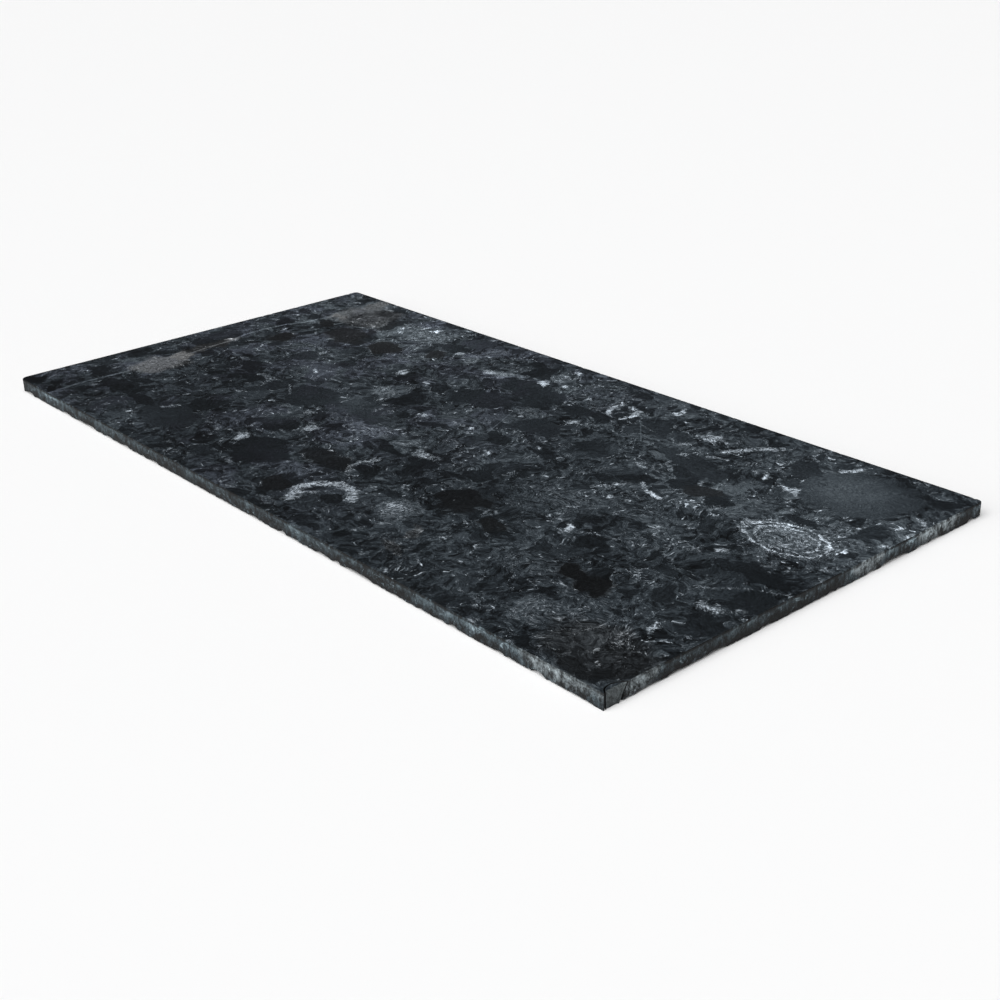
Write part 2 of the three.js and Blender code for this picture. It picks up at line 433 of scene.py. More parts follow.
class Graph:
    """Short names for the shader nodes that the stone uses. Places are in millimetres."""

    def __init__(self, tree):
        self.tree = tree

    def node(self, kind, inputs, **settings):
        made = self.tree.nodes.new(kind)
        for name, value in settings.items():
            setattr(made, name, value)
        for name, value in inputs.items():
            self.feed(made.inputs[name], value)
        return made

    def feed(self, socket, value):
        if isinstance(value, bpy.types.NodeSocket):
            self.tree.links.new(value, socket)
        else:
            socket.default_value = value

    def math(self, operation, first, second=0.0, third=0.0):
        inputs = {0: first, 1: second, 2: third}
        return self.node("ShaderNodeMath", inputs, operation=operation).outputs[0]

    def minus(self, first, second):
        return self.math("SUBTRACT", first, second)

    def times(self, first, second):
        return self.math("MULTIPLY", first, second)

    def times_plus(self, value, factor, offset):
        return self.math("MULTIPLY_ADD", value, factor, offset)

    def vary(self, value, *fields):
        """value, raised and lowered by (field, amount) pairs. The middle of each field is 0.5."""
        for field, amount in fields:
            value = self.times_plus(self.minus(field, 0.5), amount, value)
        return value

    def highest(self, first, second):
        return self.math("MAXIMUM", first, second)

    def vector(self, operation, first, second=(0, 0, 0), third=(0, 0, 0)):
        inputs = {0: first, 1: second, 2: third}
        made = self.node("ShaderNodeVectorMath", inputs, operation=operation)
        return made.outputs["Value" if operation in ("LENGTH", "DISTANCE", "DOT_PRODUCT") else "Vector"]

    def scaled(self, vector, scale):
        inputs = {0: vector, "Scale": scale}
        return self.node("ShaderNodeVectorMath", inputs, operation="SCALE").outputs["Vector"]

    def ramp(self, value, low, high, out_low=0.0, out_high=1.0):
        """value from low to high becomes out_low to out_high, with soft ends, and stays between them."""
        inputs = {"Value": value, "From Min": low, "From Max": high, "To Min": out_low, "To Max": out_high}
        settings = {"interpolation_type": "SMOOTHSTEP", "clamp": False}
        return self.node("ShaderNodeMapRange", inputs, **settings).outputs["Result"]

    def blend(self, first, second, share):
        inputs = {"Factor": share, "A": first, "B": second}
        return self.node("ShaderNodeMix", inputs, data_type="FLOAT").outputs["Result"]

    def tint(self, first, second, share):
        made = self.node("ShaderNodeMix", {}, data_type="RGBA")
        sockets = [socket for socket in made.inputs if socket.type == "RGBA"]
        self.feed(made.inputs[0], share)
        self.feed(sockets[0], first)
        self.feed(sockets[1], second)
        return made.outputs[2]

    def noise(self, place, size, detail=3.0, roughness=0.55, output="Fac"):
        inputs = {"Vector": place, "Scale": 1 / size, "Detail": detail, "Roughness": roughness}
        return self.node("ShaderNodeTexNoise", inputs, noise_dimensions="3D").outputs[output]

    def cells(self, place, size):
        """The distance to the nearest cell's middle, in sizes, and that cell's three random numbers."""
        cell = self.node("ShaderNodeTexVoronoi", {"Vector": place, "Scale": 1 / size}, feature="F1").outputs
        chances = self.node("ShaderNodeSeparateColor", {"Color": cell["Color"]}).outputs
        return cell["Distance"], *chances[:3]

    def part(self, vector, axis):
        return self.node("ShaderNodeSeparateXYZ", {"Vector": vector}).outputs[axis]

    def place(self):
        """The place in millimetres from the slab's left front corner, at the underside."""
        metres = self.node("ShaderNodeTexCoord", {}).outputs["Object"]
        return self.vector("ADD", self.scaled(metres, 1 / MM), (HALF_LENGTH, HALF_WIDTH, 0))

    def coloured(self, hue, tone):
        """A hue that is as bright as a tone."""
        return self.scaled(hue, self.math("POWER", tone, TONE_POWER))

    def wander(self, place, size, amount):
        """A push in any direction, by noise with features of a size, of about an amount."""
        push = self.noise(place, size, 2.0, output="Color")
        return self.scaled(self.vector("SUBTRACT", push, (0.5, 0.5, 0.5)), amount)

    def warped(self, place, size, amount, seed=0.0):
        """place moved about by noise with features of a size, by about an amount."""
        start = self.vector("ADD", place, (seed, seed, seed))
        return self.vector("ADD", place, self.wander(start, size, amount))


# ---- the stone's marks

# The largest pebbles, spots, veins and stains, listed one by one. Places are in millimetres from the left
# front
# corner: along the slab, then across it. An oval's row goes on with its length, width, and tone or strength,
# then its turn in degrees if it is turned.
SMOOTH_PEBBLES = [
    (556, 262, 74, 62, 0.195, 15), (509, 75, 18, 15, 0.1), (530, 71, 26, 20, 0.1, -15),
    (438, 82, 25, 14, 0.125, -15), (285, 246, 40, 30, 0.15), (306, 240, 32, 34, 0.15, 15),
    (277, 212, 62, 28, 0.145, 15), (343, 203, 34, 26, 0.18), (393, 205, 27, 24, 0.15),
    (340, 241, 22, 16, 0.15), (510, 271, 28, 20, 0.145, -15), (498, 217, 18, 24, 0.25),
    (487, 200, 22, 17, 0.13), (505, 196, 16, 12, 0.125), (470, 202, 16, 17, 0.13),
    (500, 168, 9, 13, 0.125, 15), (555, 210, 34, 10, 0.13), (591, 225, 16, 24, 0.15),
    (600, 115, 26, 26, 0.155), (580, 142, 46, 18, 0.15), (186, 130, 50, 34, 0.145),
    (100, 136, 34, 14, 0.14, -30), (150, 125, 15, 16, 0.15), (128, 122, 14, 14, 0.13),
    (145, 68, 26, 26, 0.14), (110, 178, 26, 24, 0.165), (148, 40, 60, 36, 0.175),
    (175, 266, 30, 20, 0.15, 15), (245, 134, 28, 13, 0.14), (305, 110, 32, 11, 0.12, -15),
    (215, 84, 28, 22, 0.135), (245, 50, 56, 34, 0.14), (320, 78, 30, 13, 0.13),
    (290, 72, 50, 18, 0.125, -15), (300, 27, 24, 17, 0.12), (341, 37, 14, 13, 0.135),
    (378, 122, 22, 18, 0.14), (400, 92, 38, 30, 0.13), (335, 172, 14, 12, 0.14),
    (455, 228, 66, 20, 0.165, -15), (95, 228, 46, 26, 0.13, -15), (138, 230, 30, 24, 0.13, -30),
    (58, 190, 22, 24, 0.125, 15), (30, 238, 14, 12, 0.125), (54, 235, 20, 12, 0.12, -30),
    (98, 268, 13, 44, 0.14), (24, 140, 20, 20, 0.14), (48, 128, 14, 13, 0.13), (8, 9, 14, 12, 0.11),
    (37, 5, 14, 8, 0.1), (30, 50, 26, 16, 0.13, -30), (105, 42, 42, 11, 0.13),
    (180, 246, 22, 16, 0.135, -30), (182, 286, 26, 18, 0.22, 15),
]

MOTTLED_PEBBLES = [
    (133, 276, 62, 46, 0.27), (218, 177, 27, 28, 0.33), (268, 122, 46, 26, 0.29), (299, 127, 20, 15, 0.31),
    (240, 118, 20, 11, 0.27, 15), (380, 57, 38, 34, 0.28, -15), (528, 32, 34, 32, 0.3, 30),
    (432, 128, 66, 48, 0.23), (475, 165, 50, 34, 0.21), (320, 217, 32, 15, 0.29), (487, 64, 34, 24, 0.25),
    (100, 53, 28, 14, 0.22), (18, 20, 18, 16, 0.28), (75, 262, 40, 26, 0.25), (212, 283, 24, 16, 0.29),
    (204, 262, 14, 22, 0.32), (390, 185, 18, 12, 0.27), (570, 217, 40, 18, 0.26), (550, 42, 44, 30, 0.25),
    (590, 28, 34, 30, 0.18), (85, 186, 34, 26, 0.23, -15), (20, 285, 24, 20, 0.24),
    (255, 256, 24, 14, 0.36, 30), (330, 272, 46, 40, 0.22), (170, 30, 36, 22, 0.2),
    (376, 162, 14, 10, 0.26), (506, 232, 26, 16, 0.23), (564, 186, 56, 35, 0.28),
]

# Smooth pebbles that fade out towards their borders
FADING_PEBBLES = [
    (545, 262, 60, 56, 0.255, 15), (562, 276, 40, 26, 0.24), (148, 165, 60, 40, 0.27),
    (232, 140, 70, 44, 0.27), (200, 90, 44, 30, 0.24), (66, 160, 34, 26, 0.25),
]

BRIGHT_SPOTS = [
    (27, 285, 9, 6, 0.7), (58, 294, 8, 5, 0.6), (16, 228, 9, 14, 0.6, -30), (5, 215, 6, 4, 0.8),
    (41, 202, 6, 5, 0.9), (50, 202, 6, 3, 0.6), (71, 217, 9, 4, 0.7, -45), (55, 222, 10, 4, 0.5),
    (80, 263, 7, 5, 0.6), (88, 258, 10, 11, 0.45), (113, 271, 6, 3, 0.8, -30), (125, 284, 5, 11, 0.9, 15),
    (136, 282, 4, 8, 0.9, 15), (115, 264, 4, 7, 0.6, 15), (105, 277, 9, 3, 0.6, -30), (62, 259, 6, 4, 0.5),
    (37, 157, 13, 13, 1.0), (41, 110, 14, 18, 0.5), (192, 206, 15, 13, 1.0, 30), (191, 262, 9, 9, 0.9),
    (195, 252, 7, 6, 0.7), (185, 297, 5, 4, 0.8), (195, 298, 4, 3, 0.7), (148, 165, 8, 5, 0.9),
    (155, 171, 10, 3, 0.6, 30), (112, 191, 11, 8, 0.55, -30), (120, 240, 7, 6, 0.5),
    (102, 148, 13, 5, 0.9, -15), (82, 143, 11, 10, 0.55), (76, 136, 8, 5, 0.5), (72, 122, 7, 4, 0.8),
    (115, 110, 5, 5, 0.9), (104, 101, 8, 5, 0.9, 15), (121, 70, 5, 4, 0.8), (94, 80, 4, 4, 0.7),
    (143, 101, 6, 4, 0.8), (134, 48, 7, 12, 0.7, 15), (118, 23, 9, 5, 0.7, -15), (192, 52, 12, 11, 0.7),
    (181, 57, 8, 3, 0.6, -15), (182, 94, 6, 9, 0.5, 30), (197, 40, 11, 5, 0.5, -15), (199, 28, 5, 4, 0.7),
    (188, 13, 16, 8, 0.5), (31, 95, 4, 9, 0.8, 30), (205, 8, 10, 14, 0.6, 15), (60, 92, 9, 14, 0.5),
    (38, 71, 8, 9, 0.5), (3, 32, 7, 7, 0.6), (240, 250, 24, 14, 0.9), (283, 261, 14, 8, 0.9),
    (268, 263, 12, 5, 0.6), (299, 268, 11, 6, 0.95), (283, 290, 13, 7, 0.9, 15), (291, 288, 6, 4, 0.7),
    (285, 277, 14, 14, 0.5), (225, 301, 5, 3, 0.8, -45), (305, 280, 4, 4, 0.8), (315, 280, 5, 4, 0.7),
    (315, 303, 7, 3, 0.7), (389, 287, 8, 9, 1.0), (328, 241, 7, 3, 1.0), (349, 228, 7, 8, 0.8),
    (386, 232, 5, 3, 0.8), (318, 206, 6, 7, 0.8, 30), (305, 199, 5, 4, 0.7), (245, 215, 5, 3, 0.8, -30),
    (252, 210, 5, 5, 0.6), (224, 204, 8, 5, 0.8), (220, 191, 9, 6, 0.5), (237, 157, 5, 6, 0.9),
    (270, 162, 6, 10, 0.8, -15), (280, 178, 5, 5, 0.8), (312, 170, 6, 5, 0.9), (300, 169, 16, 8, 0.5),
    (316, 163, 10, 6, 0.6), (345, 184, 24, 9, 0.5, -15), (371, 178, 8, 4, 0.6), (391, 213, 4, 2, 0.7, -45),
    (236, 147, 12, 6, 0.8), (207, 144, 7, 3, 0.8), (212, 119, 6, 5, 0.9), (214, 110, 9, 14, 0.6),
    (236, 95, 12, 19, 0.85, 30), (282, 134, 8, 4, 0.8, 15), (273, 100, 3, 4, 1.0),
    (280, 79, 8, 3, 1.0, 30), (217, 55, 14, 13, 1.0), (225, 45, 12, 7, 0.5, -30), (213, 41, 4, 4, 0.8),
    (331, 119, 25, 14, 0.85), (312, 92, 7, 6, 0.7), (352, 152, 12, 8, 0.6), (388, 36, 9, 6, 0.6, -30),
    (386, 24, 9, 12, 0.5), (395, 88, 3, 4, 0.8), (366, 92, 3, 3, 0.8), (314, 12, 20, 13, 0.5, 15),
    (275, 5, 7, 6, 0.6), (248, 29, 18, 6, 0.5, -30), (326, 60, 4, 3, 0.8), (390, 140, 9, 15, 0.45),
    (357, 20, 7, 8, 0.5), (436, 268, 25, 19, 0.95), (405, 275, 8, 6, 0.7), (428, 248, 9, 6, 0.7, -30),
    (443, 236, 10, 8, 0.5), (519, 257, 5, 8, 0.9, 15), (502, 244, 8, 8, 1.0), (491, 245, 4, 5, 0.8, 30),
    (524, 237, 15, 8, 0.95, -15), (532, 227, 6, 3, 0.8, -30), (540, 221, 6, 5, 0.7, -30),
    (598, 239, 9, 4, 0.8, 15), (588, 238, 4, 4, 0.7), (580, 226, 6, 6, 0.6), (570, 229, 5, 4, 0.6),
    (605, 256, 8, 12, 0.6), (604, 216, 7, 8, 0.6), (594, 194, 4, 8, 0.8, 30), (533, 190, 13, 24, 0.6, -15),
    (575, 168, 15, 6, 0.5), (603, 168, 6, 9, 0.6), (435, 205, 14, 14, 0.5), (478, 208, 5, 9, 0.7, 15),
    (414, 155, 10, 4, 0.8, 15), (455, 157, 8, 8, 0.9), (468, 162, 6, 5, 0.6), (416, 171, 4, 10, 0.4),
    (510, 190, 10, 12, 0.5), (517, 160, 9, 6, 0.6), (490, 180, 14, 7, 0.45), (470, 111, 10, 15, 1.0, 15),
    (426, 91, 12, 5, 0.7, 15), (458, 95, 8, 3, 0.7, 30), (424, 70, 10, 4, 0.6, 15), (451, 122, 10, 6, 0.6),
    (450, 132, 4, 7, 0.6), (457, 114, 6, 5, 0.7), (507, 112, 6, 6, 0.7), (520, 109, 5, 4, 0.6),
    (531, 101, 6, 3, 0.8, 15), (551, 92, 8, 10, 0.5, -15), (588, 96, 24, 14, 1.0, -15),
    (584, 62, 9, 15, 0.9, 15), (592, 52, 7, 4, 0.8, 30), (548, 148, 14, 8, 0.8, -15),
    (503, 147, 13, 11, 0.7, -15), (510, 141, 4, 5, 0.7), (538, 140, 18, 6, 0.55), (467, 56, 6, 5, 0.8),
    (452, 49, 6, 4, 0.5), (466, 49, 3, 3, 0.8), (462, 37, 4, 3, 0.9), (444, 23, 4, 2, 0.9, -30),
    (483, 75, 5, 4, 0.8), (493, 74, 4, 3, 0.9), (512, 16, 7, 3, 0.9, 15), (500, 17, 3, 8, 0.6),
    (591, 17, 2, 4, 1.0, 15), (549, 43, 7, 3, 0.8, 15), (548, 52, 6, 4, 0.7, 15), (442, 4, 8, 3, 0.7),
    (516, 4, 14, 4, 0.6), (575, 23, 8, 7, 0.5), (603, 104, 7, 12, 0.5, -15), (534, 188, 17, 32, 0.64),
    (380, 57, 32, 28, 0.62, -15), (528, 34, 34, 26, 0.42, 30), (516, 0, 9, 7, 0.8), (541, 0, 10, 7, 0.7),
    (610, 238, 10, 12, 0.8), (610, 218, 8, 8, 0.7), (610, 160, 8, 10, 0.6),
]

# Curved strokes of pale crystals: width, strength, then the places they run through
STROKES = [
    (5.5, 1.0, [(323, 20), (313, 34), (317, 45), (327, 54), (342, 54), (350, 46)]),
    (3.0, 0.8, [(327, 37), (321, 30), (326, 25)]),
    (3.0, 0.7, [(314, 93), (308, 84), (309, 76), (315, 69)]),
    (3.2, 0.9, [(353, 270), (352, 261), (358, 252)]),
    (3.6, 0.9, [(361, 271), (370, 269), (373, 261), (371, 252)]),
    (4.5, 0.85, [(479, 284), (469, 275), (461, 263), (457, 254)]),
    (2.5, 0.6, [(454, 244), (467, 247)]),
    (3.0, 0.8, [(534, 294), (532, 287), (527, 282)]),
    (2.5, 0.6, [(451, 180), (445, 172), (437, 160)]),
    (2.8, 0.9, [(455, 185), (463, 179), (478, 176)]),
    (1.8, 0.5, [(479, 112), (490, 117), (503, 120), (511, 123), (522, 127), (532, 124), (541, 120)]),
    (1.6, 0.6, [(529, 127), (525, 134), (526, 143)]),
    (1.6, 0.5, [(568, 109), (577, 115), (583, 122), (592, 128), (609, 136)]),
    (1.6, 0.5, [(290, 53), (298, 55), (309, 58)]),
    (3.5, 0.5, [(120, 130), (127, 132), (137, 128), (141, 117)]),
    (1.6, 0.4, [(120, 133), (155, 133), (172, 122)]),
    (2.2, 0.3, [(340, 253), (366, 250), (392, 252), (405, 249)]),
    (1.4, 0.35, [(484, 292), (484, 276), (480, 252), (484, 234)]),
    (2.0, 0.3, [(18, 245), (44, 246)]),
    (2.4, 0.5, [(576, 52), (577, 42), (585, 36)]),
    (1.4, 0.45, [(581, 52), (581, 45), (586, 40)]),
    (1.6, 0.5, [(511, 58), (519, 62), (525, 58), (523, 53)]),
    (1.6, 0.35, [(350, 130), (336, 142), (324, 148)]),
]

# The pale healed joint across the far end: width, strength, then the places it runs through
JOINT_VEIN = (3.0, 0.42, [
    (43, 305), (43, 262), (43, 245), (40, 226), (34, 212), (31, 192), (32, 174), (37, 157), (39, 134),
    (42, 116), (44, 66), (43, 44), (42, 26), (46, 0),
])

# Ovals of nested pale bands: place, length and width, how many bands, strength
RINGS = [
    (564, 186, 56, 36, 4.5, 0.9), (559, 187, 34, 18, 2.0, 0.5), (285, 277, 15, 15, 1.0, 0.5),
    (155, 255, 15, 15, 1.0, 0.3), (447, 210, 13, 13, 1.0, 0.45), (330, 272, 50, 46, 4.0, 0.3),
]

# Hairline scratches in the polish: strength, then both ends
SCRATCH_WIDTH = 0.9
SCRATCH_TONE = 0.42
SCRATCHES = [
    (0.5, (308, 213), (327, 172)), (0.35, (385, 255), (408, 232)), (0.3, (403, 232), (417, 214)),
    (0.25, (330, 298), (352, 262)), (0.25, (372, 290), (391, 262)),
]

# Where the colour is warm: brown iron stains and brownish dark pebbles, with a strength
WARM_PATCHES = [
    (47, 88, 38, 46, 0.75), (42, 112, 14, 20, 1.0), (36, 138, 14, 54, 0.8), (64, 268, 62, 54, 0.6),
    (45, 290, 16, 36, 0.7), (50, 253, 24, 10, 0.9, -30), (95, 228, 46, 30, 0.5, -15),
    (138, 230, 32, 26, 0.6, -30), (58, 190, 24, 26, 0.6, 15), (54, 235, 22, 14, 0.5, -30),
    (180, 246, 24, 18, 0.5, -30), (96, 262, 12, 40, 0.3), (530, 71, 30, 22, 0.5), (509, 75, 20, 18, 0.5),
    (438, 82, 25, 15, 0.5), (400, 92, 40, 32, 0.4), (300, 27, 26, 18, 0.45), (487, 200, 24, 18, 0.4),
    (580, 26, 70, 52, 0.42), (412, 44, 14, 9, 0.5, -30), (420, 25, 26, 12, 0.5, -30),
    (290, 72, 52, 22, 0.3),
]

# Brown stains that also cover the pattern, with their tone
BROWN_STAINS = [
    (45, 84, 38, 38, 0.37), (42, 110, 14, 20, 0.4), (22, 78, 16, 14, 0.3), (44, 96, 30, 20, 0.35),
    (47, 284, 26, 44, 0.34), (50, 253, 34, 18, 0.35, -30),
]


def ovals_of(rows):
    """The place, length, width and turn of each row's oval, and its tone or strength."""
    for along, across, length, width, level, *turn in rows:
        yield (along, across, length, width, *(turn or [0])), level


def start_group(name, vectors="", floats="", outputs="", colours=""):
    """A new node group with sockets of these names. Returns its tree, its graph and its inputs."""
    tree = bpy.data.node_groups.new(name, "ShaderNodeTree")
    kinds = (("INPUT", "Vector", vectors), ("INPUT", "Float", floats),
             ("OUTPUT", "Float", outputs), ("OUTPUT", "Color", colours))
    for in_out, kind, names in kinds:
        for socket in names.split():
            tree.interface.new_socket(socket, in_out=in_out, socket_type="NodeSocket" + kind)
    return tree, Graph(tree), tree.nodes.new("NodeGroupInput").outputs


def end_group(graph, values):
    out = graph.tree.nodes.new("NodeGroupOutput")
    for name, value in values.items():
        graph.feed(out.inputs[name], value)


@functools.cache
def make_mark_group():
    """Out: how far a place is from an oval's middle, where its border is 1. Share: its strength there.

    Highest: its strength or Under, whichever is more.
    """
    tree, g, given = start_group("mark", "Place Rate Shift", "Border Core Level Under", "Out Share Highest")
    out = g.vector("LENGTH", g.vector("MULTIPLY_ADD", given["Place"], given["Rate"], given["Shift"]))
    share = g.ramp(out, given["Border"], given["Core"], 0.0, given["Level"])
    end_group(g, {"Out": out, "Share": share, "Highest": g.highest(share, given["Under"])})
    return tree


@functools.cache
def make_line_group():
    """The strength, over Under, of a straight stretch of a pale line."""
    tree, g, given = start_group("line", "Place Start Run Rate", "Offset Width Level Under", "Highest")
    share = g.math("ADD", g.vector("DOT_PRODUCT", given["Place"], given["Rate"]), given["Offset"])
    share = g.highest(0.0, g.math("MINIMUM", 1.0, share))
    foot = g.vector("ADD", g.scaled(given["Run"], share), given["Start"])
    distance = g.math("DIVIDE", g.vector("DISTANCE", given["Place"], foot), given["Width"])
    strength = g.ramp(distance, 0.62, 0.12, 0.0, given["Level"])
    end_group(g, {"Highest": g.highest(strength, given["Under"])})
    return tree


class Marks:
    """Lays the listed marks over a field, each as one group node."""

    def __init__(self, graph, place):
        self.graph = graph
        self.place = place
        self.in_plan = graph.vector("MULTIPLY", place, (1, 1, 0))
        self.turned = {}
        self.mark_group = make_mark_group()
        self.line_group = make_line_group()

    def axes(self, turn):
        """The directions along and across a mark that is turned by an angle in degrees."""
        lengthways = Vector((math.cos(math.radians(turn)), math.sin(math.radians(turn)), 0))
        return lengthways, Vector((-lengthways.y, lengthways.x, 0)), Vector((0, 0, 1))

    def place_turned(self, turn):
        """The place, measured along a turned mark's own axes."""
        if turn not in self.turned:
            parts = [self.graph.vector("DOT_PRODUCT", self.place, axis) for axis in self.axes(turn)]
            local = self.graph.node("ShaderNodeCombineXYZ", dict(zip("XYZ", parts))).outputs["Vector"]
            self.turned[turn] = local
        return self.turned[turn]

    def oval(self, row, border, core, level=1.0, under=0.0):
        along, across, length, width, turn = row
        middle = Vector((along, across, THICKNESS))
        rates = (2 / length, 2 / width, 1 / max(7.0, 0.35 * min(length, width)))
        shift = [-rate * axis.dot(middle) for rate, axis in zip(rates, self.axes(turn))]
        inputs = {"Place": self.place_turned(turn), "Rate": rates, "Shift": shift, "Border": border,
                  "Core": core, "Level": level, "Under": under}
        return self.graph.node("ShaderNodeGroup", inputs, node_tree=self.mark_group).outputs

    def line(self, points, width, level, under=0.0, place=None):
        for start, end in zip(points, points[1:]):
            run = Vector(end) - Vector(start)
            rate = run / run.length_squared
            inputs = {"Start": (*start, 0), "Run": (*run, 0), "Rate": (*rate, 0), "Width": width,
                      "Level": level, "Offset": -rate.dot(Vector(start)), "Under": under,
                      "Place": place or self.in_plan}
            under = self.graph.node("ShaderNodeGroup", inputs, node_tree=self.line_group).outputs["Highest"]
        return under

    def ovals(self, rows, border, core, under=0.0):
        """The strength of the strongest of several ovals."""
        for row, level in ovals_of(rows):
            under = self.oval(row, border, core, level, under)["Highest"]
        return under


def matrix_tone(g, swirl, ragged):
    """The fine mottled ground between the pebbles, and the grain it comes from."""
    cloud = g.noise(swirl, 32, 3, 0.6)
    grain = g.noise(ragged, 5.2, 6, 0.78)
    lift = g.times_plus(cloud, 0.3, -0.15)
    return g.math("ADD", lift, g.ramp(grain, 0.33, 0.73, 0.1, 0.355)), grain


# The scattered pebbles: size of their cells, share of the cells that have one, darkest and lightest tone
PEBBLE_SIZES = [(6.5, 0.4, (0.12, 0.29)), (15, 0.45, (0.115, 0.27)), (34, 0.4, (0.12, 0.24))]


def add_pebbles(g, ragged, speckle, tone, size, share, tones):
    """Lays rounded pebbles of one size over the ground. Returns the tone, how calm it is and bright rims."""
    distance, red, green, blue = g.cells(ragged, size)
    inside = g.minus(g.times_plus(red, 0.3, 0.3), distance)
    soft = 0.8 / size
    present = g.math("GREATER_THAN", blue, 1 - share)
    mask = g.times(g.ramp(inside, -soft, soft), present)
    level = g.ramp(g.math("POWER", green, 1.9), 0.0, 1.0, *tones)
    swing = g.times_plus(level, 2.4, -0.17)
    mottled = g.times_plus(speckle, swing, level)
    tone = g.blend(tone, mottled, g.times(mask, 0.76))
    calm = g.times(mask, g.ramp(level, 0.21, 0.15))
    rim = g.ramp(g.math("ABSOLUTE", g.math("ADD", inside, 1.1 * soft)), 1.65 * soft, 0.25 * soft)
    return tone, calm, g.times(rim, g.times(present, g.ramp(green, 0.3, 0.4)))


def natural_crystals(g, place, bent, ragged, grain):
    """How bright the scattered crystals are: patches, wisps and flecks, gathered where the veil is high."""
    veil = g.noise(bent, 24, 3, 0.6)
    bright = g.times(g.ramp(g.noise(ragged, 5.5, 4, 0.6), 0.575, 0.72), g.ramp(veil, 0.4, 0.6))
    ridge = g.math("ABSOLUTE", g.minus(g.noise(ragged, 9, 3, 0.6), 0.5))
    wisp = g.times(g.ramp(ridge, 0.045, 0.002), g.ramp(veil, 0.46, 0.64, 0.0, 0.45))
    bright = g.highest(bright, wisp)
    strand = g.math("ABSOLUTE", g.minus(g.noise(bent, 20, 3, 0.55), 0.47))
    vein = g.times(g.ramp(strand, 0.014, 0.001), g.ramp(grain, 0.46, 0.62, 0.0, 0.5))
    bright = g.highest(bright, vein)
    distance, chance = g.cells(place, 4.2)[:2]
    fleck = g.times(g.ramp(distance, 0.24, 0.08), g.ramp(chance, 0.92, 0.99, 0.0, 0.8))
    return g.highest(bright, fleck)


def placed_pebbles(g, marks, grain, speckle, tone, calm, bright):
    """The listed pebbles, laid over the rest. Crystals gather in the mottled ones."""
    for row, level in ovals_of(MOTTLED_PEBBLES):
        mottled = g.times_plus(speckle, 3.6 * level - 0.15, level - 0.03)
        mottled = g.vary(mottled, (grain, 0.6))
        share = marks.oval(row, 1.15, 0.75, 0.8)["Share"]
        tone = g.blend(tone, mottled, share)
        bright = g.highest(bright, g.times(share, 3.2 * level - 0.56))
    for row, level in ovals_of(SMOOTH_PEBBLES):
        smooth = g.times_plus(speckle, 0.16, level)
        mark = marks.oval(row, 1.07, 0.93, 0.94, calm)
        tone = g.blend(tone, smooth, mark["Share"])
        calm = mark["Highest"]
    for row, level in ovals_of(FADING_PEBBLES):
        smooth = g.times_plus(speckle, 0.28, level)
        tone = g.blend(tone, smooth, marks.oval(row, 1.2, 0.2, 0.75)["Share"])
    return tone, g.times(bright, g.times_plus(calm, -0.88, 1.0))


def make_placed_crystals():
    """A node group: how bright the listed crystals are, over the scattered ones.

    Near is the place with only a slight wander, for the rings and strokes.
    """
    tree, g, given = start_group("placed crystals", "Place Near", "Under", "Bright")
    bright = Marks(g, given["Place"]).ovals(BRIGHT_SPOTS, 1.3, 0.2, given["Under"])
    marks = Marks(g, given["Near"])
    frayed = g.ramp(g.noise(given["Near"], 6.0, 5, 0.72), 0.33, 0.58, 0.5, 1.05)
    strokes = 0.0
    for width, level, points in STROKES:
        strokes = marks.line(points, 1.9 * width, level, strokes)
    bright = g.highest(bright, g.times(strokes, frayed))
    wobble = g.minus(g.noise(given["Place"], 8, 4, 0.6), 0.5)
    for *row, bands, level in RINGS:
        mark = marks.oval((*row, 0), 1.24, 0.96, level)
        out = g.times_plus(wobble, 0.42, mark["Out"])
        wave = g.math("COSINE", g.times_plus(out, 2 * math.pi * bands, -1.86 * math.pi * bands))
        band = g.times(g.ramp(wave, -0.4, 1.0, 0.22, 1.0), mark["Share"])
        outer = g.times(g.ramp(mark["Out"], 0.35, 0.85, 0.55, 1.0), frayed)
        bright = g.highest(bright, g.times(band, outer))
    end_group(g, {"Bright": bright})
    return tree


def healed_joint(g, marks, grain, tone):
    """The pale joint across the far end."""
    width, level, points = JOINT_VEIN
    vein = marks.line(points, width, 0.9)
    return g.blend(tone, level, g.times(vein, g.ramp(grain, 0.36, 0.52, 0.25, 1.0)))


def stone_colour(g, marks, place, swirl, tone, crystal):
    """Cool grey, warm in the stains, with a painted bluish sheen towards the middle and left."""
    warm = marks.ovals(WARM_PATCHES, 1.15, 0.75)
    # A painted sheen of a bluish hue, strongest towards the left of the top.
    lilac_sheen = g.times(g.ramp(g.part(place, ALONG), 420, 240), g.ramp(g.noise(swirl, 30, 2), 0.45, 0.6))
    hue = g.tint((0.77, 1.0, 1.22, 1), (0.83, 1.0, 1.13, 1), g.ramp(tone, 0.12, 0.4))
    hue = g.tint(hue, (0.86, 1.0, 1.31, 1), g.times(lilac_sheen, 0.7))
    hue = g.tint(hue, (0.88, 1.0, 1.12, 1), crystal)
    hue = g.tint(hue, (0.97, 1.0, 1.02, 1), warm)
    return g.coloured(hue, tone)


def scattered_pebbles(g, bent, ragged, speckle, tone):
    """Lays the pebbles of each size over the ground. Returns the tone, how calm it is and bright rims."""
    calm, rims = 0.0, 0.0
    for size, share, tones in PEBBLE_SIZES:
        tone, calm_here, rim = add_pebbles(g, ragged, speckle, tone, size, share, tones)
        calm = g.highest(calm, calm_here)
        rims = g.highest(rims, rim)
    return tone, calm, g.times(rims, g.ramp(g.noise(bent, 7, 3, 0.6), 0.5, 0.64, 0.0, 0.6))


